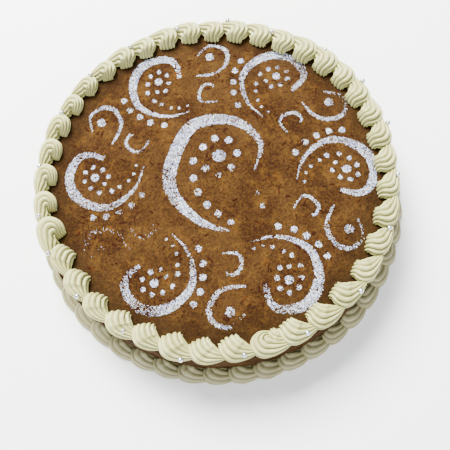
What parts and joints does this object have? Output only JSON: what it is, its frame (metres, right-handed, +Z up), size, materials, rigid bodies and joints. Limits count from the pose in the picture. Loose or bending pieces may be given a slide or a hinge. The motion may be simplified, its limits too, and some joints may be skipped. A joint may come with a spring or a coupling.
{
  "type": "carrot cake",
  "caption": "Round uncut carrot cake with a browned crust, a sugar-dusted swirl pattern, piped icing shells round the rim and the foot, and silver sugar balls.",
  "frame": {"origin": "centre of the cake's flat underside, on the surface it stands on", "axes": "+Z up; -Y towards the viewer of the picture; +X to the viewer's right"},
  "size_m": [0.3087, 0.3087, 0.0645],
  "materials": {
    "crust": "moist browned carrot cake crust, matte, mottled",
    "icing": "soft piped cream icing, satin",
    "icing_shade": "soft piped cream icing, satin, a little darker",
    "silver": "polished silver sugar balls",
    "sugar": "fine icing sugar dusted through a stencil"
  },
  "bodies": {
    "root": {"cake": "crust", "top_border": "icing", "base_border": "icing_shade"}
  },
  "joints": []
}
